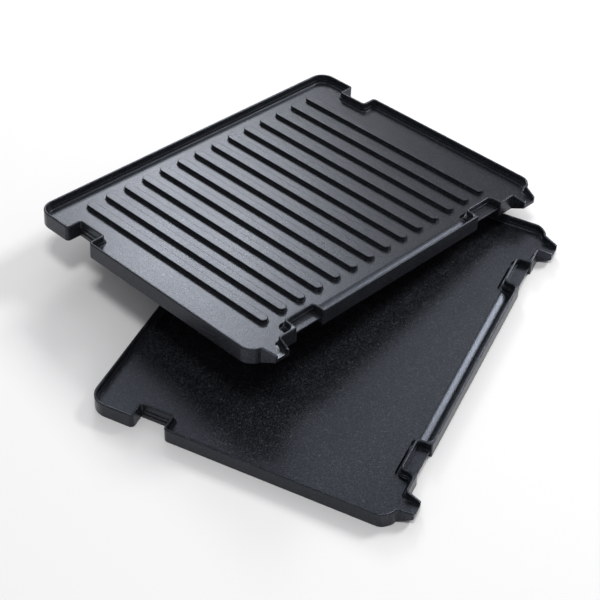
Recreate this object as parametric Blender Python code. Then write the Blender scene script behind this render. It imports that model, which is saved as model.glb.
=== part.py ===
"""A pair of removable cooking plates for a contact grill: a flat griddle and a ribbed grill plate.

Each plate is one die casting: a shallow tray with a rim and an outer skirt, two drain spouts and two
latch recesses along the front, and a notch in each side. The griddle lies on its skirt. The ribbed
plate leans over it, with one back corner close to the ground.
Metres, +Z up, the ground at z = 0, the origin under the middle of the two plates' common box.
"""
import math

import bmesh
import bpy
from mathutils import Euler, Matrix, Vector

MM = 0.001

# Both plates.
PLATE_WIDTH = 290.0 * MM
PLATE_DEPTH = 215.5 * MM
PLATE_HEIGHT = 11.8 * MM
CORNER_RADIUS = 12.0 * MM
RIM_THICKNESS = 1.9 * MM
RIM_ROUNDING = 0.4 * MM
WALL_DRAFT = 0.7 * MM
TRAY_DEPTH = 6.3 * MM
FLOOR_THICKNESS = 3.0 * MM
SKIRT_THICKNESS = 2.4 * MM

# A notch in each side, near the back.
NOTCH_FROM_BACK = 33.75 * MM
NOTCH_LENGTH = 22.2 * MM
NOTCH_DEPTH = 12.0 * MM
NOTCH_MOUTH_RADIUS = 3.0 * MM
NOTCH_FOOT_RADIUS = 1.2 * MM
NOTCH_RAIL_WIDTH = 1.2 * MM
NOTCH_RAIL_HEIGHT = 4.0 * MM

# Two latch recesses in the front wall, each with a ledge that the grill's latch hooks over.
RECESS_FROM_SIDE = 40.5 * MM
RECESS_LENGTH = 24.3 * MM
RECESS_DEPTH = 9.95 * MM
RECESS_MOUTH_RADIUS = 1.0 * MM
RECESS_FOOT_RADIUS = 1.2 * MM
RECESS_LAND_RADIUS = 4.5 * MM
LEDGE_DROP = 5.3 * MM
LEDGE_THICKNESS = 2.0 * MM
LEDGE_SETBACK = 0.6 * MM

# A gutter between the recesses, and a channel that leads it behind each recess to the spouts.
GUTTER_DEPTH = 3.0 * MM
GUTTER_WIDTH = 10.2 * MM
CHANNEL_WIDTH = 3.2 * MM
CHANNEL_TURN_RADIUS = 4.0 * MM

# Two drain spouts, one beside each front corner.
SPOUT_FROM_SIDE = 8.5 * MM
SPOUT_BASE_WIDTH = 17.2 * MM
SPOUT_TIP_WIDTH = 12.1 * MM
SPOUT_LENGTH = 9.6 * MM
SPOUT_TIP_OFFSET = 3.2 * MM
SPOUT_TIP_DROP = 2.8 * MM
SPOUT_TIP_FLOOR = 5.2 * MM
SPOUT_TIP_UNDERSIDE = 7.8 * MM

# The ribs of the grill plate.
RIB_COUNT = 14
RIB_SIDE_MARGIN = 34.0 * MM
RIB_TOP_WIDTH = 6.4 * MM
RIB_DRAFT = 1.0 * MM
RIB_HEIGHT = 3.1 * MM
RIB_FROM_FRONT = 20.7 * MM
RIB_FROM_BACK = 15.1 * MM

# How the grill plate leans over the griddle.
LEAN = (math.radians(-4.17), math.radians(6.782), math.radians(-18.924))
LEAN_SHIFT_X = 67.6 * MM
LEAN_SHIFT_Y = 64.2 * MM
GROUND_GAP = 0.1 * MM
PLATE_GAP = 1.0 * MM

EMBED = 0.5 * MM
OVERCUT = 1.0 * MM
ARC_STEP = math.radians(15)
SMALLEST_RADIUS = 0.2 * MM

HALF_WIDTH = PLATE_WIDTH / 2
HALF_DEPTH = PLATE_DEPTH / 2
FLOOR_Z = PLATE_HEIGHT - TRAY_DEPTH
CEILING_Z = FLOOR_Z - FLOOR_THICKNESS
GUTTER_Z = FLOOR_Z - GUTTER_DEPTH
RECESS_OUTER_X = HALF_WIDTH - RECESS_FROM_SIDE
RECESS_INNER_X = RECESS_OUTER_X - RECESS_LENGTH
RECESS_BACK_Y = RECESS_DEPTH - HALF_DEPTH
NOTCH_BACK_Y = HALF_DEPTH - NOTCH_FROM_BACK
NOTCH_FRONT_Y = NOTCH_BACK_Y - NOTCH_LENGTH
NOTCH_X = HALF_WIDTH - NOTCH_DEPTH


def clear_scene():
    for thing in list(bpy.data.objects):
        bpy.data.objects.remove(thing, do_unlink=True)


def rounded(corners):
    """The points of an outline whose corners (x, y, radius) are rounded, with the same number of
    points for the same turn, so that an inset copy matches it point for point."""
    points = []
    for number, (x, y, radius) in enumerate(corners):
        corner = Vector((x, y))
        before = (Vector(corners[number - 1][:2]) - corner).normalized()
        after = (Vector(corners[(number + 1) % len(corners)][:2]) - corner).normalized()
        turn = math.pi - before.angle(after)
        reach = radius * math.tan(turn / 2)
        centre = corner + (before + after).normalized() * radius / math.cos(turn / 2)
        start = corner + before * reach - centre
        steps = max(2, round(turn / ARC_STEP))
        way = 1 if before.cross(after) < 0 else -1
        for step in range(steps + 1):
            spoke = start.copy()
            spoke.rotate(Matrix.Rotation(way * turn * step / steps, 2))
            points.append(centre + spoke)
    return points


def inset(corners, distance, inner_radii=None):
    """The corners moved in by a distance, with radii that keep the walls parallel."""
    moved = []
    for number, (x, y, radius) in enumerate(corners):
        corner = Vector((x, y))
        arriving = (corner - Vector(corners[number - 1][:2])).normalized()
        leaving = (Vector(corners[(number + 1) % len(corners)][:2]) - corner).normalized()
        in_one = Vector((-arriving.y, arriving.x))
        in_two = Vector((-leaving.y, leaving.x))
        shift = (in_one + in_two) * distance / (1 + in_one.dot(in_two))
        convex = arriving.cross(leaving) > 0
        rounded_by = max(radius - distance, SMALLEST_RADIUS) if convex else radius + distance
        if inner_radii:
            rounded_by = max(rounded_by, inner_radii[number])
        moved.append((x + shift.x, y + shift.y, rounded_by))
    return moved


def mirrored(corners):
    """Half an outline, from the front middle round to the back, with its other half added."""
    return corners + [(-x, y, radius) for x, y, radius in reversed(corners)]


def plate_corners():
    return mirrored([
        (RECESS_INNER_X, -HALF_DEPTH, RECESS_MOUTH_RADIUS),
        (RECESS_INNER_X, RECESS_BACK_Y, RECESS_FOOT_RADIUS),
        (RECESS_OUTER_X, RECESS_BACK_Y, RECESS_FOOT_RADIUS),
        (RECESS_OUTER_X, -HALF_DEPTH, RECESS_MOUTH_RADIUS),
        (HALF_WIDTH, -HALF_DEPTH, CORNER_RADIUS),
        (HALF_WIDTH, NOTCH_FRONT_Y, NOTCH_MOUTH_RADIUS),
        (NOTCH_X, NOTCH_FRONT_Y, NOTCH_FOOT_RADIUS),
        (NOTCH_X, NOTCH_BACK_Y, NOTCH_FOOT_RADIUS),
        (HALF_WIDTH, NOTCH_BACK_Y, NOTCH_MOUTH_RADIUS),
        (HALF_WIDTH, HALF_DEPTH, CORNER_RADIUS),
    ])


def hollow_corners():
    """The underside's hollow: it follows the skirt, and stops behind the gutter and the recesses."""
    front = RECESS_BACK_Y + CHANNEL_WIDTH + RIM_THICKNESS
    return mirrored([
        (HALF_WIDTH, front, RECESS_LAND_RADIUS),
        (HALF_WIDTH, NOTCH_FRONT_Y, NOTCH_MOUTH_RADIUS),
        (NOTCH_X, NOTCH_FRONT_Y, NOTCH_FOOT_RADIUS),
        (NOTCH_X, NOTCH_BACK_Y, NOTCH_FOOT_RADIUS),
        (HALF_WIDTH, NOTCH_BACK_Y, NOTCH_MOUTH_RADIUS),
        (HALF_WIDTH, HALF_DEPTH, CORNER_RADIUS),
    ])


def level(points, height):
    return [Vector((point.x, point.y, height)) for point in points]


def stacked_solid(name, loops):
    """A closed solid whose skin passes through loops of the same number of points, in order."""
    shape = bmesh.new()
    ring = [shape.verts.new(point) for point in loops[0]]
    base = shape.faces.new(ring)
    face = base
    for loop in loops[1:]:
        made = bmesh.ops.extrude_face_region(shape, geom=[face])["geom"]
        if face is not base:
            bmesh.ops.delete(shape, geom=[face], context="FACES_ONLY")
        face = next(item for item in made if isinstance(item, bmesh.types.BMFace))
        by_place = {tuple(vert.co): vert for vert in face.verts}
        ring = [by_place[tuple(vert.co)] for vert in ring]
        for vert, point in zip(ring, loop):
            vert.co = point
    bmesh.ops.recalc_face_normals(shape, faces=shape.faces)
    mesh = bpy.data.meshes.new(name)
    shape.to_mesh(mesh)
    shape.free()
    solid = bpy.data.objects.new(name, mesh)
    bpy.context.scene.collection.objects.link(solid)
    return solid


def box(name, low, high):
    corners = [(low[0], low[1]), (high[0], low[1]), (high[0], high[1]), (low[0], high[1])]
    flat = [Vector(corner) for corner in corners]
    return stacked_solid(name, [level(flat, low[2]), level(flat, high[2])])


def use(plate, helper, operation, holder):
    """Cut a helper solid out of a plate, or join it on, and keep the helper out of the model."""
    modifier = plate.modifiers.new(helper.name, "BOOLEAN")
    modifier.operation = operation
    modifier.solver = "EXACT"
    modifier.object = helper
    helper.hide_render = True
    helper.display_type = "WIRE"
    helper.parent = holder


def plate_body(name):
    """The tray, its rim and its skirt, with a solid underside."""
    corners = plate_corners()
    land = [0.0] * len(corners)
    for number in (0, 3):
        land[number] = RECESS_LAND_RADIUS
        land[len(corners) - 1 - number] = RECESS_LAND_RADIUS
    rim_out = inset(corners, RIM_ROUNDING)
    rim_in = inset(corners, RIM_THICKNESS - RIM_ROUNDING, land)
    wall_top = inset(corners, RIM_THICKNESS, land)
    wall_foot = inset(corners, RIM_THICKNESS + WALL_DRAFT, land)
    return stacked_solid(name, [
        level(rounded(corners), 0),
        level(rounded(corners), PLATE_HEIGHT - RIM_ROUNDING),
        level(rounded(rim_out), PLATE_HEIGHT),
        level(rounded(rim_in), PLATE_HEIGHT),
        level(rounded(wall_top), PLATE_HEIGHT - RIM_ROUNDING),
        level(rounded(wall_foot), FLOOR_Z),
    ])


def hollow_cutter():
    outline = rounded(inset(hollow_corners(), SKIRT_THICKNESS))
    return stacked_solid("hollow_cutter", [level(outline, -OVERCUT), level(outline, CEILING_Z)])


def gutter_cutter():
    """The gutter's section, from where the floor starts to roll down to the front wall."""
    front = RIM_THICKNESS - HALF_DEPTH
    back = front + GUTTER_WIDTH
    top = FLOOR_Z + OVERCUT
    section = [
        (front, top),
        (front, GUTTER_Z),
        (front + GUTTER_WIDTH * 0.3, GUTTER_Z + GUTTER_DEPTH * 0.07),
        (front + GUTTER_WIDTH * 0.55, GUTTER_Z + GUTTER_DEPTH * 0.5),
        (front + GUTTER_WIDTH * 0.8, GUTTER_Z + GUTTER_DEPTH * 0.87),
        (back + EMBED, FLOOR_Z + GUTTER_DEPTH * 0.05),
        (back + EMBED, top),
    ]
    reach = RECESS_INNER_X - RIM_THICKNESS
    ends = [[Vector((x, y, z)) for y, z in section] for x in (-reach, reach)]
    return stacked_solid("gutter_cutter", ends)


def channel_cutter(side):
    """The channel that follows the wall behind one recess, round its end and on to the spout."""
    overlap = EMBED / 2
    wall_y = RECESS_BACK_Y + RIM_THICKNESS - overlap
    wall_x = RECESS_OUTER_X + RIM_THICKNESS - overlap
    front = RIM_THICKNESS - HALF_DEPTH - overlap
    inner = RECESS_INNER_X - RIM_THICKNESS - OVERCUT
    mouth = spout_plan(RIM_THICKNESS)[0] - overlap
    corners = [
        (inner, wall_y, SMALLEST_RADIUS),
        (wall_x, wall_y, RECESS_FOOT_RADIUS),
        (wall_x, front, RECESS_LAND_RADIUS / 2),
        (mouth, front, SMALLEST_RADIUS),
        (mouth, front + CHANNEL_WIDTH, SMALLEST_RADIUS),
        (wall_x + CHANNEL_WIDTH, front + CHANNEL_WIDTH, RECESS_FOOT_RADIUS),
        (wall_x + CHANNEL_WIDTH, wall_y + CHANNEL_WIDTH, CHANNEL_TURN_RADIUS),
        (inner, wall_y + CHANNEL_WIDTH, SMALLEST_RADIUS),
    ]
    outline = [Vector((side * point.x, point.y)) for point in rounded(corners)]
    heights = (GUTTER_Z, FLOOR_Z + EMBED)
    return stacked_solid("channel_cutter", [level(outline, height) for height in heights])


def spout_plan(wall):
    """The four corners of the right spout's plan, a wall's thickness inside its outside."""
    base_out = HALF_WIDTH - SPOUT_FROM_SIDE
    base_in = base_out - SPOUT_BASE_WIDTH
    tip_out = base_out - SPOUT_TIP_OFFSET
    tip_in = tip_out - SPOUT_TIP_WIDTH
    return (base_in + wall, base_out - wall, tip_out - wall, tip_in + wall)


def spout(side):
    """A short open channel that leans out of the front wall, and thins towards its tip."""
    base_in, base_out, tip_out, tip_in = spout_plan(0)
    root = -HALF_DEPTH + RIM_THICKNESS - EMBED
    tip = -HALF_DEPTH - SPOUT_LENGTH
    lower = [(base_in, root, EMBED), (base_out, root, EMBED),
             (tip_out, tip, PLATE_HEIGHT - SPOUT_TIP_UNDERSIDE),
             (tip_in, tip, PLATE_HEIGHT - SPOUT_TIP_UNDERSIDE)]
    upper = [(base_in, root, PLATE_HEIGHT - RIM_ROUNDING / 2),
             (base_out, root, PLATE_HEIGHT - RIM_ROUNDING / 2),
             (tip_out, tip, PLATE_HEIGHT - SPOUT_TIP_DROP), (tip_in, tip, PLATE_HEIGHT - SPOUT_TIP_DROP)]
    loops = [[Vector((side * x, y, z)) for x, y, z in loop] for loop in (lower, upper)]
    return stacked_solid("spout", loops)


def spout_cutter(side):
    """The way through the front wall and along the spout."""
    base_in, base_out, tip_out, tip_in = spout_plan(RIM_THICKNESS)
    root = -HALF_DEPTH + RIM_THICKNESS + WALL_DRAFT + OVERCUT
    tip = -HALF_DEPTH - SPOUT_LENGTH
    past_tip = tip - OVERCUT
    tip_floor = PLATE_HEIGHT - SPOUT_TIP_FLOOR
    floor = [(base_in, root, FLOOR_Z + EMBED / 5), (base_out, root, FLOOR_Z + EMBED / 5),
             (tip_out, past_tip, tip_floor), (tip_in, past_tip, tip_floor)]
    loops = [[Vector((side * x, y, z)) for x, y, z in floor],
             [Vector((side * x, y, PLATE_HEIGHT + OVERCUT)) for x, y, z in floor]]
    return stacked_solid("spout_cutter", loops)


def latch_ledge(side):
    ends = sorted((side * (RECESS_INNER_X - EMBED), side * (RECESS_OUTER_X + EMBED)))
    top = PLATE_HEIGHT - LEDGE_DROP
    low = (ends[0], -HALF_DEPTH + LEDGE_SETBACK, top - LEDGE_THICKNESS)
    return box("latch_ledge", low, (ends[1], RECESS_BACK_Y + EMBED, top))


def notch_rail(side):
    ends = sorted((side * (NOTCH_X - EMBED), side * (NOTCH_X + NOTCH_RAIL_WIDTH)))
    low = (ends[0], NOTCH_FRONT_Y - EMBED, EMBED / 2)
    return box("notch_rail", low, (ends[1], NOTCH_BACK_Y + EMBED, NOTCH_RAIL_HEIGHT))


def rib(number):
    """One straight rib with full round ends and drafted flanks, rooted in the floor."""
    pitch = (PLATE_WIDTH - 2 * RIB_SIDE_MARGIN) / (RIB_COUNT - 1)
    x = (number - (RIB_COUNT - 1) / 2) * pitch
    front = -HALF_DEPTH + RIB_FROM_FRONT
    back = HALF_DEPTH - RIB_FROM_BACK
    foot = RIB_TOP_WIDTH / 2 + RIB_DRAFT
    slope = RIB_DRAFT / RIB_HEIGHT
    loops = []
    for height in (-OVERCUT, RIB_HEIGHT):
        drawn_in = slope * height
        half = foot - drawn_in
        corners = [
            (x - half, front + drawn_in, half - SMALLEST_RADIUS),
            (x + half, front + drawn_in, half - SMALLEST_RADIUS),
            (x + half, back - drawn_in, half - SMALLEST_RADIUS),
            (x - half, back - drawn_in, half - SMALLEST_RADIUS),
        ]
        loops.append(level(rounded(corners), FLOOR_Z + height))
    return stacked_solid("rib", loops)


def coating(name, colour, roughness):
    """The dark non-stick finish."""
    material = bpy.data.materials.new(name)
    material.use_nodes = True
    shader = material.node_tree.nodes["Principled BSDF"]
    shader.inputs["Base Color"].default_value = (*colour, 1)
    shader.inputs["Roughness"].default_value = roughness
    shader.inputs["Metallic"].default_value = 0.0
    return material


def cooking_plate(name, ribs, material):
    """One whole plate with its helpers, held by an empty in the middle of its underside."""
    holder = bpy.data.objects.new(name + "_place", None)
    bpy.context.scene.collection.objects.link(holder)
    plate = plate_body(name)
    plate.parent = holder
    plate.data.materials.append(material)
    for side in (-1, 1):
        use(plate, spout(side), "UNION", holder)
        use(plate, spout_cutter(side), "DIFFERENCE", holder)
    use(plate, gutter_cutter(), "DIFFERENCE", holder)
    for side in (-1, 1):
        use(plate, channel_cutter(side), "DIFFERENCE", holder)
        use(plate, latch_ledge(side), "UNION", holder)
        use(plate, notch_rail(side), "UNION", holder)
    use(plate, hollow_cutter(), "DIFFERENCE", holder)
    for number in range(ribs):
        use(plate, rib(number), "UNION", holder)
    return holder


def lean(holder):
    """Lean a plate over the griddle, as low as the ground and the griddle's rim allow."""
    turn = Euler(LEAN).to_matrix()
    up = turn @ Vector((0, 0, 1))
    corners = [Vector((x, y, 0)) for x in (-HALF_WIDTH, HALF_WIDTH) for y in (-HALF_DEPTH, HALF_DEPTH)]
    over_ground = GROUND_GAP - min((turn @ corner).z for corner in corners)
    shift = Vector((LEAN_SHIFT_X, LEAN_SHIFT_Y, 0)) - up * PLATE_HEIGHT
    reach = Vector((HALF_WIDTH - shift.x, HALF_DEPTH - shift.y))
    over_rim = PLATE_HEIGHT + PLATE_GAP + (up.x * reach.x + up.y * reach.y) / up.z
    holder.rotation_euler = LEAN
    holder.location = (shift.x, shift.y, max(over_ground, over_rim))


def centre(holders):
    """Move both plates together, so that the origin is under the middle of their common box."""
    bpy.context.view_layer.update()
    graph = bpy.context.evaluated_depsgraph_get()
    places = []
    for holder in holders:
        for thing in holder.children:
            if not thing.hide_render:
                shown = thing.evaluated_get(graph)
                places += [shown.matrix_world @ vert.co for vert in shown.data.vertices]
    middle_x = (min(place.x for place in places) + max(place.x for place in places)) / 2
    middle_y = (min(place.y for place in places) + max(place.y for place in places)) / 2
    for holder in holders:
        holder.location.x -= middle_x
        holder.location.y -= middle_y


clear_scene()
dark_coat = coating("dark_nonstick_coat", (0.045, 0.048, 0.055), 0.42)
grey_coat = coating("grey_nonstick_coat", (0.060, 0.064, 0.072), 0.40)
griddle = cooking_plate("flat_griddle_plate", 0, dark_coat)
grill = cooking_plate("ribbed_grill_plate", RIB_COUNT, grey_coat)
lean(grill)
centre([griddle, grill])
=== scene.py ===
"""Two removable contact-grill plates: a ribbed grill plate leaning over a flat griddle plate."""

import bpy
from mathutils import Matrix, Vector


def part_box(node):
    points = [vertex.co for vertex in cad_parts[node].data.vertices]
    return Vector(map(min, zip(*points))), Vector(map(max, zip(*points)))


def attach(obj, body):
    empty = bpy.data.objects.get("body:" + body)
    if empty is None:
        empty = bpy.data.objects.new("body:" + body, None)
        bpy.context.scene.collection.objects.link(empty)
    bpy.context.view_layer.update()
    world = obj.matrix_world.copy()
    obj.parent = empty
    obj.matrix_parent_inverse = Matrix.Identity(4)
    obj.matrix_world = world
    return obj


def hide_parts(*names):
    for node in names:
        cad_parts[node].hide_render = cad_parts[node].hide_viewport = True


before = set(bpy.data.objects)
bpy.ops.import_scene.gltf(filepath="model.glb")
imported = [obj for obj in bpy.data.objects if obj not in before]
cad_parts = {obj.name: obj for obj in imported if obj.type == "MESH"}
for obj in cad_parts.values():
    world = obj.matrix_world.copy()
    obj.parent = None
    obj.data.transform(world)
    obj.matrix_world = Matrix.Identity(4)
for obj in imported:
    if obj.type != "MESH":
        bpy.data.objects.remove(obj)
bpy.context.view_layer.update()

import math

import bmesh
import bpy
from mathutils import Euler, Matrix, Vector

MM = 0.001


# ---- Camera ---------------------------------------------------------------------------------
# A long lens, a metre away, looking down on the two plates past the griddle's left side.
# The plates fill the view from edge to edge, so their places in it fix the lens and the turn.

griddle_low, griddle_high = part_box("flat_griddle_plate")
PLATE_DEPTH = 215.5 * MM
PLATE_HEIGHT = griddle_high[2] - griddle_low[2]
griddle_middle = Vector(((griddle_low[0] + griddle_high[0]) / 2, griddle_high[1] - PLATE_DEPTH / 2, 0))

EYE = Vector((-659.2, -280.6, 747.1)) * MM + Vector((0, 0, PLATE_HEIGHT))
LOOK = (math.radians(44.072), math.radians(-0.989), math.radians(-64.144))
LENS_MM = 90.39
SENSOR_MM = 36.0

camera = bpy.data.objects.new("camera", bpy.data.cameras.new("camera"))
camera.data.lens = LENS_MM
camera.data.sensor_width = SENSOR_MM
camera.location = griddle_middle + EYE
camera.rotation_euler = LOOK
bpy.context.scene.collection.objects.link(camera)
bpy.context.scene.camera = camera


# ---- Casting of the griddle plate -----------------------------------------------------------
# Both plates are pressure die castings in aluminium, with drafted walls and every edge broken.
# The wall follows the outline at an even thickness: round the side notches that locate the plate,
# round the latch recesses in the front, and out along the two drain spouts.

HALF_WIDTH = (griddle_high[0] - griddle_low[0]) / 2
HALF_DEPTH = PLATE_DEPTH / 2
FLOOR = PLATE_HEIGHT - 6.3 * MM
WALL = 1.9 * MM
WALL_FOOT = WALL + 1.3 * MM
WALL_DRAFT = 0.12 * MM
SMALLEST_RADIUS = 0.25 * MM
RIM_ROUND = 0.8 * MM
CORNER_RADIUS = 12.0 * MM

NOTCH_X = HALF_WIDTH - 12.0 * MM
NOTCH_BACK = HALF_DEPTH - 33.75 * MM
NOTCH_FRONT = NOTCH_BACK - 22.2 * MM
NOTCH_EDGE_RADIUS = 3.0 * MM
NOTCH_CORNER_RADIUS = 1.2 * MM
NOTCH_STEP_DROP = 5.4 * MM
NOTCH_RAIL_TOP = 3.4 * MM

RECESS_OUT = HALF_WIDTH - 40.5 * MM
RECESS_IN = RECESS_OUT - 24.3 * MM
RECESS_BACK = 9.95 * MM - HALF_DEPTH
RECESS_CORNER_RADIUS = 2.2 * MM
RECESS_EDGE_RADIUS = 1.0 * MM
RECESS_LAND_RADIUS = 4.5 * MM
RECESS_STEP_DROP = 3.6 * MM
LEDGE_DROP = 5.3 * MM
LEDGE_THICKNESS = 1.5 * MM
LEDGE_SETBACK = 1.3 * MM

SPOUT_OUT = HALF_WIDTH - 8.5 * MM
SPOUT_IN = SPOUT_OUT - 17.2 * MM
SPOUT_LEAN_IN = 1.9 * MM
SPOUT_LEAN_OUT = 3.2 * MM
SPOUT_LENGTH = griddle_middle.y - HALF_DEPTH - griddle_low[1]
SPOUT_RADIUS = 0.8 * MM
SPOUT_WALL_SAVING = 0.4 * MM
TIP_TOP_DROP = 2.8 * MM
TIP_FLOOR_RISE = 1.0 * MM
TIP_UNDER_RISE = 4.0 * MM

# How far from the outline each kind of edge has its channel's lip, and how deep its channel is.
LIP = {"gutter": 12.2 * MM, "recess": 5.0 * MM, "short": 4.0 * MM}
CHANNEL_DEPTH = {"gutter": 3.0 * MM, "recess": 3.0 * MM, "short": 1.8 * MM}


def arc_steps(radius):
    """How many steps an arc of a quarter turn gets."""
    return 14 if radius > 2.0 * MM else 6


def half_outline():
    """The right half's corners, from the front middle round to the back: the kind of the edge that
    follows each corner, its place, its radius, and the radius of its wall's inner side."""
    arc = math.tan(math.radians(22.5)) * CORNER_RADIUS
    spout_tip = -HALF_DEPTH - SPOUT_LENGTH
    return [
        ("recess", RECESS_IN, -HALF_DEPTH, RECESS_EDGE_RADIUS, RECESS_LAND_RADIUS),
        ("recess", RECESS_IN, RECESS_BACK, RECESS_CORNER_RADIUS, 0),
        ("recess", RECESS_OUT, RECESS_BACK, RECESS_CORNER_RADIUS, 0),
        ("short", RECESS_OUT, -HALF_DEPTH, RECESS_EDGE_RADIUS, RECESS_LAND_RADIUS),
        ("spout", SPOUT_IN, -HALF_DEPTH, SPOUT_RADIUS, 0),
        ("tip", SPOUT_IN + SPOUT_LEAN_IN, spout_tip, SPOUT_RADIUS, 0),
        ("spout", SPOUT_OUT - SPOUT_LEAN_OUT, spout_tip, SPOUT_RADIUS, 0),
        ("side", SPOUT_OUT, -HALF_DEPTH + 0.52 * MM, SPOUT_RADIUS, 0),
        ("side", SPOUT_OUT + 2.86 * MM, -HALF_DEPTH + 1.39 * MM, CORNER_RADIUS - 2 * MM, 0),
        ("side", HALF_WIDTH, -HALF_DEPTH + CORNER_RADIUS - arc, CORNER_RADIUS, 0),
        ("side", HALF_WIDTH, NOTCH_FRONT, NOTCH_EDGE_RADIUS, 0),
        ("side", NOTCH_X, NOTCH_FRONT, NOTCH_CORNER_RADIUS, 0),
        ("side", NOTCH_X, NOTCH_BACK, NOTCH_CORNER_RADIUS, 0),
        ("side", HALF_WIDTH, NOTCH_BACK, NOTCH_EDGE_RADIUS, 0),
        ("side", HALF_WIDTH, HALF_DEPTH, CORNER_RADIUS, 0),
    ]


def mirrored(outline):
    """The same corners on the left, in the order in which the outline comes back to them."""
    return [(kind, -x, y, radius, inner) for kind, x, y, radius, inner in outline[::-1]]


def whole_outline():
    """Both halves. On the left, each edge is followed backwards, so its kind moves on a corner."""
    half = half_outline()
    kinds = ["gutter"] + [corner[0] for corner in half[:-1]]
    return half + mirrored([(kind, *corner[1:]) for kind, corner in zip(kinds, half)])


def along(value, kind):
    """What holds for one kind of edge, where a value isn't the same for all of them."""
    return value.get(kind, value["side"]) if isinstance(value, dict) else value


def corner_inside(outline, number, inward):
    """Where a corner goes when its two edges move inward, and its radius there. An outside corner
    tightens, except at a recess's wide land, and an inside corner opens."""
    kind, x, y, radius, inner = outline[number]
    kind_before, *place_before = outline[number - 1][:3]
    place = Vector((x, y))
    arriving = (place - Vector(place_before)).normalized()
    leaving = (Vector(outline[(number + 1) % len(outline)][1:3]) - place).normalized()
    turn = arriving.cross(leaving)
    depth_before = along(inward, kind_before)
    depth = along(inward, kind)
    left_before = Vector((-arriving.y, arriving.x)) * depth_before
    left = Vector((-leaving.y, leaving.x)) * depth
    reach = (left - left_before).cross(leaving) / turn if abs(turn) > 1e-6 else 0
    place += left_before + arriving * reach
    depth = min(depth_before, depth)
    if turn <= 0:
        return place, radius + depth * 0.9
    radius = max(radius - depth, SMALLEST_RADIUS)
    if depth > 0.6 * WALL:
        radius = max(radius, inner - max(depth - WALL, 0) * 0.8)
    return place, radius


def ring(outline, inward, height, bend=None):
    """The outline moved inward and rounded, with as many points at every distance. inward and
    height are one value, or one for each kind of edge; a corner blends the heights of its edges."""
    corners = [corner_inside(outline, number, inward) for number in range(len(outline))]
    points = []
    for number, (place, radius) in enumerate(corners):
        to_before = corners[number - 1][0] - place
        to_after = corners[(number + 1) % len(corners)][0] - place
        before = to_before.normalized()
        after = to_after.normalized()
        turn = math.pi - before.angle(after)
        longest = min(to_before.length, to_after.length) * 0.48
        radius = min(radius, longest / math.tan(turn / 2))
        centre = place + (before + after).normalized() * radius / math.cos(turn / 2)
        start = place + before * radius * math.tan(turn / 2) - centre
        steps = max(2, round(arc_steps(outline[number][3]) * turn / (math.pi / 2)))
        way = 1 if before.cross(after) < 0 else -1
        low = along(height, outline[number - 1][0])
        high = along(height, outline[number][0])
        for step in range(steps + 1):
            share = step / steps
            spoke = start.copy()
            spoke.rotate(Matrix.Rotation(way * turn * share, 2))
            spot = centre + spoke
            ease = share * share * (3 - 2 * share)
            points.append(Vector((spot.x, spot.y, low + (high - low) * ease)))
    return [bend(point) for point in points] if bend else points


def drawn_up(rings):
    """A closed bmesh: the first ring is a face, extruded through all the others."""
    shape = bmesh.new()
    verts = [shape.verts.new(point) for point in rings[0]]
    base = face = shape.faces.new(verts)
    for points in rings[1:]:
        made = bmesh.ops.extrude_face_region(shape, geom=[face])["geom"]
        if face is not base:
            bmesh.ops.delete(shape, geom=[face], context="FACES_ONLY")
        face = next(item for item in made if isinstance(item, bmesh.types.BMFace))
        found = {tuple(vert.co): vert for vert in face.verts}
        verts = [found[tuple(vert.co)] for vert in verts]
        for vert, point in zip(verts, points):
            vert.co = point
    bmesh.ops.recalc_face_normals(shape, faces=shape.faces)
    return shape


def as_object(name, shape):
    mesh = bpy.data.meshes.new(name)
    shape.to_mesh(mesh)
    shape.free()
    thing = bpy.data.objects.new(name, mesh)
    bpy.context.scene.collection.objects.link(thing)
    return thing


def joined(piece, helpers):
    """The piece with each helper (operation, object) cut out of it or joined on for good."""
    for operation, helper in helpers:
        step = piece.modifiers.new(operation, "BOOLEAN")
        step.operation = operation
        step.solver = "EXACT"
        step.object = helper
    bpy.context.view_layer.update()
    result = bpy.data.meshes.new_from_object(piece.evaluated_get(bpy.context.evaluated_depsgraph_get()))
    piece.modifiers.clear()
    piece.data = result
    for operation, helper in helpers:
        bpy.data.objects.remove(helper, do_unlink=True)
    return piece


def spout_bend(point):
    """Beyond the front wall, the casting thins towards the spout's tip."""
    share = min(max((-HALF_DEPTH - point.y) / SPOUT_LENGTH, 0), 1)
    if point.z > FLOOR:
        up = (point.z - FLOOR) / (PLATE_HEIGHT - FLOOR)
        lift = TIP_FLOOR_RISE - (TIP_FLOOR_RISE + TIP_TOP_DROP) * up
    else:
        lift = TIP_UNDER_RISE + (TIP_FLOOR_RISE - TIP_UNDER_RISE) * point.z / FLOOR
    return Vector((point.x, point.y, point.z + lift * share))


def edge_round(distance, height, radius, start, end, steps=4):
    """Distance and height of points round a section's edge, from one angle to another."""
    for step in range(steps + 1):
        angle = math.radians(start + (end - start) * step / steps)
        yield distance + radius * math.cos(angle), height + radius * math.sin(angle)


def wall_sections():
    """The wall from its foot outside, over the rim, and down past two fine steps inside. Round the
    spouts the wall is thinner."""
    yield 0.45 * MM, 0
    yield WALL_DRAFT, 0.1 * MM
    yield 0, 0.45 * MM
    yield from edge_round(WALL_DRAFT + RIM_ROUND, PLATE_HEIGHT - RIM_ROUND, RIM_ROUND, 180, 90)
    yield from edge_round(WALL - RIM_ROUND, PLATE_HEIGHT - RIM_ROUND, RIM_ROUND, 90, 0)
    steps = [(0.25, 3.9), (0.42, 4.15), (0.75, 4.25), (0.85, 5.35), (0.95, 5.6), (1.2, 5.7), (1.3, 6.0)]
    for out, drop in steps:
        slim = WALL - SPOUT_WALL_SAVING + out * SPOUT_WALL_SAVING
        yield {"side": WALL + out * MM, "spout": slim, "tip": slim}, PLATE_HEIGHT - drop * MM


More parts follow.
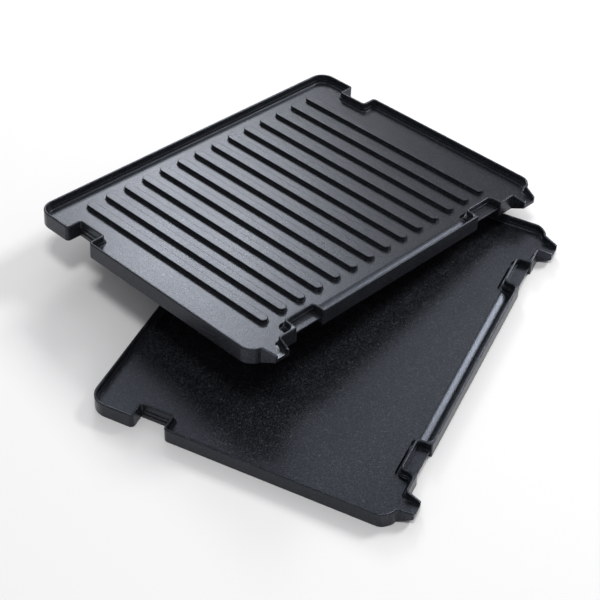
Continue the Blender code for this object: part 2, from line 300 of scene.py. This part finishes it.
def channel_sections():
    """What follows the wall. Along the front the casting runs down into the gutter, or into the
    narrow channel behind a recess, and up over its lip; elsewhere it is the tray's floor."""
    # Shares of the way from the wall's foot to the lip, each with its share of the depth.
    gutter = [(0.0, 0.92), (0.05, 1.0), (0.17, 1.0), (0.25, 0.9), (0.32, 0.74), (0.42, 0.55),
              (0.60, 0.32), (0.74, 0.145), (0.86, 0.04), (1.0, 0.0)]
    narrow = [(0.0, 0.9), (0.15, 1.0), (0.7, 1.0), (0.82, 0.93), (0.86, 0.6), (0.88, 0.3),
              (0.90, 0.12), (0.94, 0.05), (0.97, 0.015), (1.0, 0.0)]
    start = WALL_FOOT - 0.3 * MM
    for number in range(len(gutter)):
        spacing = 0.2 * number * MM
        inward = {"side": WALL_FOOT + 0.25 * MM + spacing}
        inward["spout"] = inward["tip"] = WALL + 0.2 * MM + spacing
        height = {"side": FLOOR + (0 if number else 0.08 * MM)}
        for kind, lip in LIP.items():
            share, sunk = (gutter if kind == "gutter" else narrow)[number]
            inward[kind] = start + (lip - start) * share
            height[kind] = FLOOR - CHANNEL_DEPTH[kind] * sunk
        yield inward, height


def underside_hollow():
    """The shallow hollow inside the skirt. It stops short of the channel, where the floor is solid."""
    front = RECESS_BACK + 7.5 * MM
    notch_and_back = half_outline()[-5:]
    half = [("side", HALF_WIDTH, front, 6.0 * MM, 0)] + notch_and_back
    section = [(2.0, -1.0), (2.0, 0.0), (2.15, 0.15), (2.4, 0.5), (2.5, 2.1), (2.65, 2.4), (3.0, 2.5)]
    return drawn_up([ring(half + mirrored(half), far * MM, up * MM) for far, up in section])


def spout_opening(side):
    """What opens the tip: the wall across it is cut away down to the floor."""
    shape = bmesh.new()
    bmesh.ops.create_cube(shape, size=1)
    wall = WALL - 0.2 * MM
    tip_in = SPOUT_IN + SPOUT_LEAN_IN + wall
    tip_out = SPOUT_OUT - SPOUT_LEAN_OUT - wall
    size = (tip_out - tip_in, 9.0 * MM, 8.0 * MM)
    bmesh.ops.scale(shape, vec=size, verts=shape.verts)
    tip = -HALF_DEPTH - SPOUT_LENGTH
    foot = FLOOR + TIP_FLOOR_RISE + 0.03 * MM
    middle = Vector((side * (tip_in + tip_out) / 2, tip, foot + size[2] / 2))
    bmesh.ops.translate(shape, vec=middle, verts=shape.verts)
    tilt = Matrix.Rotation(math.atan2(-TIP_FLOOR_RISE, SPOUT_LENGTH), 3, "X")
    bmesh.ops.rotate(shape, matrix=tilt, verts=shape.verts, cent=(0, tip, foot))
    return shape


def bar(low, high, edge):
    """A straight bar between two corners, with every edge broken."""
    shape = bmesh.new()
    bmesh.ops.create_cube(shape, size=1)
    bmesh.ops.scale(shape, vec=high - low, verts=shape.verts)
    bmesh.ops.translate(shape, vec=(low + high) / 2, verts=shape.verts)
    bmesh.ops.bevel(shape, geom=shape.edges[:], offset=edge, segments=3, profile=0.5,
                    affect="EDGES", material=-1)
    return shape


def sideways(side, start, end):
    """Two x values on one side of the plate, the lower one first."""
    return sorted((side * start, side * end))


# Each of these bars runs 1 mm or a little more into the walls round it, so that they are one piece.

def latch_ledge(side):
    """The ledge across a recess, which the press's latch hooks over."""
    left, right = sideways(side, RECESS_IN - 1.2 * MM, RECESS_OUT + 1.2 * MM)
    top = PLATE_HEIGHT - LEDGE_DROP
    low = Vector((left, -HALF_DEPTH + LEDGE_SETBACK, top - LEDGE_THICKNESS))
    return bar(low, Vector((right, RECESS_BACK + 1.2 * MM, top)), 0.3 * MM)


def recess_step(side):
    """The thicker lower half of the recess's back wall, which stands 0.45 mm proud."""
    left, right = sideways(side, RECESS_IN - 1.2 * MM, RECESS_OUT + 1.2 * MM)
    low = Vector((left, RECESS_BACK - 0.45 * MM, 0.5 * MM))
    high = Vector((right, RECESS_BACK + 1.0 * MM, PLATE_HEIGHT - RECESS_STEP_DROP))
    return bar(low, high, 0.15 * MM)


def notch_step(side):
    """The thicker lower half of a notch's back wall, which stands 0.5 mm proud."""
    left, right = sideways(side, NOTCH_X - 1.0 * MM, NOTCH_X + 0.5 * MM)
    low = Vector((left, NOTCH_FRONT - 1.0 * MM, 0.6 * MM))
    return bar(low, Vector((right, NOTCH_BACK + 1.0 * MM, PLATE_HEIGHT - NOTCH_STEP_DROP)), 0.2 * MM)


def notch_rail(side):
    """The rail along the foot of a notch, 1.2 mm proud, which slides on the press's lug."""
    left, right = sideways(side, NOTCH_X - 1.0 * MM, NOTCH_X + 1.2 * MM)
    low = Vector((left, NOTCH_FRONT - 1.0 * MM, 0.3 * MM))
    return bar(low, Vector((right, NOTCH_BACK + 1.0 * MM, NOTCH_RAIL_TOP)), 0.3 * MM)


def casting(name, extras=()):
    """One plate in its own place: the middle of its underside's plane is the origin."""
    outline = whole_outline()
    sections = [*wall_sections(), *channel_sections()]
    rings = [ring(outline, inward, height, spout_bend) for inward, height in sections]
    plate = as_object(name, drawn_up(rings))
    helpers = [("DIFFERENCE", underside_hollow())]
    for side in (-1, 1):
        helpers += [("DIFFERENCE", spout_opening(side)), ("UNION", latch_ledge(side)),
                    ("UNION", recess_step(side)), ("UNION", notch_step(side)), ("UNION", notch_rail(side))]
    helpers += extras
    return joined(plate, [(operation, as_object("helper", shape)) for operation, shape in helpers])


def finished(plate, place):
    """The plate moved to its place in the frame, with crisp shading over its broken edges."""
    plate.data.transform(place)
    plate.data.shade_smooth()
    plate.data.set_sharp_from_angle(angle=math.radians(38))
    weighted = plate.modifiers.new("flat faces stay flat", "WEIGHTED_NORMAL")
    weighted.keep_sharp = True
    return plate


griddle = finished(casting("griddle_plate"), Matrix.Translation(griddle_middle))
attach(griddle, "griddle")
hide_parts("flat_griddle_plate")


# ---- Coat -----------------------------------------------------------------------------------
# A satin near-black non-stick coat is sprayed over each blasted casting in two wet layers.
# It dries with a faint orange peel, and mica flecks lie in it, each a fraction of a millimetre.

class Varying:
    """A value that varies over a surface. Arithmetic on it adds Math nodes."""

    def __init__(self, coat, socket):
        self.coat = coat
        self.socket = socket

    def maths(self, operation, first, second=0.0):
        return self.coat.node("ShaderNodeMath", {"operation": operation}, {0: first, 1: second})

    def __add__(self, other):
        return self.maths("ADD", self, other)

    def __sub__(self, other):
        return self.maths("SUBTRACT", self, other)

    def __rsub__(self, other):
        return self.maths("SUBTRACT", other, self)

    def __mul__(self, other):
        return self.maths("MULTIPLY", self, other)

    __radd__ = __add__
    __rmul__ = __mul__


class Coat:
    """One material and its nodes."""

    def __init__(self, name):
        self.material = bpy.data.materials.new(name)
        self.material.use_nodes = True
        self.tree = self.material.node_tree
        self.shader = self.tree.nodes["Principled BSDF"]

    def join(self, socket, value):
        if isinstance(value, Varying):
            self.tree.links.new(value.socket, socket)
        else:
            socket.default_value = value

    def node(self, kind, settings, inputs, output=0):
        made = self.tree.nodes.new(kind)
        for name, value in settings.items():
            setattr(made, name, value)
        for name, value in inputs.items():
            self.join(made.inputs[name], value)
        return Varying(self, made.outputs[output])


NEAR_BLACK = (0.004, 0.0044, 0.0052, 1)
MICA_GREY = (0.058, 0.061, 0.070, 1)
COOL_SHEEN = (0.70, 0.79, 1.0, 1)
FLECK_SPACING = 1.3 * MM
FLECK_PATCH = 1.6 * MM
GRAIN_SIZE = 0.85 * MM
CLOUD_SIZE = 45 * MM
PEEL_SIZE = 0.9 * MM
PEEL_HEIGHT = 0.12 * MM
WAVE_SIZE = 7 * MM
WAVE_HEIGHT = 0.3 * MM


def nonstick_coat():
    coat = Coat("nonstick_coat")
    place = coat.node("ShaderNodeTexCoord", {}, {}, "Object")

    def noise(size, detail=2.0, roughness=0.5):
        return coat.node("ShaderNodeTexNoise", {"noise_dimensions": "3D"},
                         {"Vector": place, "Scale": 1 / size, "Detail": detail, "Roughness": roughness})

    def smooth(value, low, high):
        return coat.node("ShaderNodeMapRange", {"interpolation_type": "SMOOTHSTEP"},
                         {"Value": value, "From Min": low, "From Max": high})

    # A fleck is the middle of a cell, in the patches where the mica has settled.
    cell = coat.node("ShaderNodeTexVoronoi", {"feature": "F1"},
                     {"Vector": place, "Scale": 1 / FLECK_SPACING, "Randomness": 1.0}, "Distance")
    patch = smooth(noise(FLECK_PATCH, 1.0), 0.50, 0.62)
    fleck = (1 - smooth(cell, 0.16, 0.40)) * patch
    grain = noise(GRAIN_SIZE, 2.0, 0.7)
    cloud = noise(CLOUD_SIZE)
    tone = smooth(grain, 0.46, 0.64) * 0.3 + fleck
    colour = coat.node("ShaderNodeMix", {"data_type": "RGBA"},
                       {"Factor": tone, "A": NEAR_BLACK, "B": MICA_GREY}, "Result")
    coat.join(coat.shader.inputs["Base Color"], colour)
    coat.join(coat.shader.inputs["Roughness"], 0.20 + cloud * 0.05 + grain * 0.14 - fleck * 0.05)

    # A fine orange peel over a very shallow, longer wave.
    peel = coat.node("ShaderNodeBump", {}, {"Height": noise(PEEL_SIZE, 2.0, 0.6), "Strength": 0.65,
                                            "Distance": PEEL_HEIGHT})
    wave = coat.node("ShaderNodeBump", {}, {"Height": noise(WAVE_SIZE, 1.0), "Strength": 0.06,
                                            "Distance": WAVE_HEIGHT, "Normal": peel})
    coat.join(coat.shader.inputs["Normal"], wave)
    coat.shader.inputs["IOR"].default_value = 1.42
    coat.shader.inputs["Specular Tint"].default_value = COOL_SHEEN
    return coat.material


plate_coat = nonstick_coat()
griddle.data.materials.clear()
griddle.data.materials.append(plate_coat)


# ---- Casting of the grill plate -------------------------------------------------------------
# The same casting with fourteen ribs that mark the food and hold it off the fat in the tray.
# Each rib is drafted for the die, with full round ends, a soft top and two fine steps low down.

RIB_COUNT = 14
RIB_PITCH = (2 * HALF_WIDTH - 68.0 * MM) / (RIB_COUNT - 1)
RIB_FRONT = 20.7 * MM - HALF_DEPTH
RIB_BACK = HALF_DEPTH - 15.1 * MM
RIB_HALF_FOOT = 4.2 * MM
RIB_HEIGHT = 3.1 * MM
RIB_EDGE_ROUND = 0.6 * MM
RIB_DRAFT = 0.87 * MM
LEAN = Euler((math.radians(-4.17), math.radians(6.782), math.radians(-18.924)))


def rib(x):
    """One rib, rooted below the floor."""
    steps = [(0, -1.0), (0, 0.02), (0.02, 0.34), (0.06, 0.42), (0.38, 0.45), (0.42, 0.52),
             (0.45, 1.02), (0.49, 1.1), (0.78, 1.13), (0.82, 1.2)]
    section = [(narrowing * MM, up * MM) for narrowing, up in steps]
    section += edge_round(RIB_DRAFT + RIB_EDGE_ROUND, RIB_HEIGHT - RIB_EDGE_ROUND, RIB_EDGE_ROUND, 180, 90)
    rings = []
    for narrowing, up in section:
        half = RIB_HALF_FOOT - narrowing
        front = RIB_FRONT + narrowing
        back = RIB_BACK - narrowing
        outline = [("side", x + across * half, y, half * 0.98, 0)
                   for across, y in ((-1, front), (1, front), (1, back), (-1, back))]
        rings.append(ring(outline, 0, FLOOR + up))
    return drawn_up(rings)


ribs = bmesh.new()
for number in range(RIB_COUNT):
    one = rib((number - (RIB_COUNT - 1) / 2) * RIB_PITCH)
    mesh = bpy.data.meshes.new("rib")
    one.to_mesh(mesh)
    one.free()
    ribs.from_mesh(mesh)
    bpy.data.meshes.remove(mesh)

grill = casting("grill_plate", [("UNION", ribs)])
turned = [LEAN.to_matrix() @ vert.co for vert in grill.data.vertices]
grill_low, grill_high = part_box("ribbed_grill_plate")
lowest = Vector([min(place[axis] for place in turned) for axis in range(3)])
highest = Vector([max(place[axis] for place in turned) for axis in range(3)])
grill_middle = (Vector(grill_low) + Vector(grill_high) - lowest - highest) / 2
finished(grill, Matrix.Translation(grill_middle) @ LEAN.to_matrix().to_4x4())
grill.data.materials.clear()
grill.data.materials.append(plate_coat)
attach(grill, "grill")
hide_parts("ribbed_grill_plate")


# ---- Studio ---------------------------------------------------------------------------------
# A pale floor and surround, and four softboxes: one low behind to the right, which the leaning
# plate mirrors, a broad one above it for the flat plate, one at the front right along the gutter,
# and one overhead that lights the floor and the rounded edges.

def plain(name, colour):
    material = bpy.data.materials.new(name)
    material.use_nodes = True
    shader = material.node_tree.nodes["Principled BSDF"]
    shader.inputs["Base Color"].default_value = (*colour, 1)
    shader.inputs["Roughness"].default_value = 0.9
    shader.inputs["Specular IOR Level"].default_value = 0.0
    return material


floor_shape = bmesh.new()
bmesh.ops.create_grid(floor_shape, x_segments=1, y_segments=1, size=6.0)
floor = as_object("studio_floor", floor_shape)
floor.data.materials.append(plain("studio_white", (0.78, 0.78, 0.78)))


def softbox(name, azimuth, elevation, distance, size, power):
    """An area light facing the middle of the plates. Its azimuth runs from +X towards +Y."""
    lamp = bpy.data.lights.new(name, "AREA")
    lamp.shape = "RECTANGLE"
    lamp.size, lamp.size_y = size
    lamp.energy = power
    box = bpy.data.objects.new(name, lamp)
    turn, rise = math.radians(azimuth), math.radians(elevation)
    way = Vector((math.cos(turn) * math.cos(rise), math.sin(turn) * math.cos(rise), math.sin(rise)))
    box.location = way * distance
    box.rotation_euler = way.to_track_quat("Z", "Y").to_euler()
    bpy.context.scene.collection.objects.link(box)


softbox("back_softbox", 31, 30, 1.8, (0.40, 0.40), 9.5)
softbox("upper_softbox", 26, 48, 2.2, (1.6, 0.8), 6.5)
softbox("front_softbox", -34, 39, 1.8, (0.45, 0.45), 18.5)
softbox("top_softbox", 200, 76, 2.0, (0.4, 0.4), 14)

world = bpy.data.worlds.new("studio")
world.use_nodes = True
world.node_tree.nodes["Background"].inputs["Color"].default_value = (0.97, 0.975, 1.0, 1)
world.node_tree.nodes["Background"].inputs["Strength"].default_value = 0.40
bpy.context.scene.world = world
bpy.context.scene.view_settings.view_transform = "Standard"
